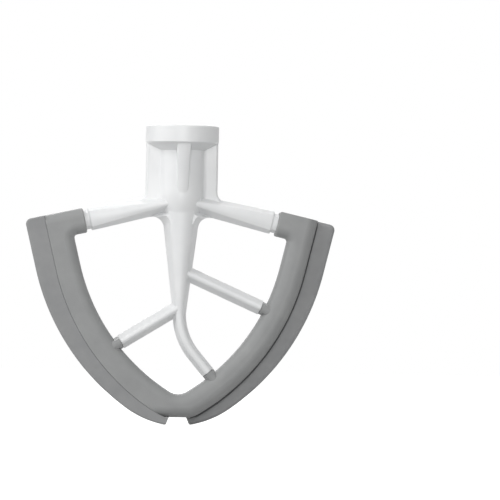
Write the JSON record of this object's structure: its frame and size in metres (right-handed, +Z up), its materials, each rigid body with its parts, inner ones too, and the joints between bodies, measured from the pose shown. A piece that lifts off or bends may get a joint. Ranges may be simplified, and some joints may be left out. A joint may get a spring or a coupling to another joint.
{
  "type": "stand mixer flat beater",
  "caption": "Flat beater for a stand mixer: white finned hub and curled spine carry a grey V-shaped frame with a flexible wiper along each limb.",
  "frame": {"origin": "centre of the shaft bore at its mouth, on top of the drive collar", "axes": "+Z up along the shaft and out of the bore, X across the width of the beater, -Y towards the front face, where the left limb carries its wiper"},
  "size_m": [0.1486, 0.035, 0.1429],
  "materials": {
    "white_coating": "satin white coating on cast aluminium",
    "grey_frame": "fine matt moulded grey",
    "grey_wiper": "smooth matt flexible grey"
  },
  "bodies": {
    "root": {"drive_hub": "white_coating", "beater_arms": "white_coating", "edge_frame": "grey_frame", "front_wiper": "grey_wiper", "rear_wiper": "grey_wiper"}
  },
  "joints": []
}
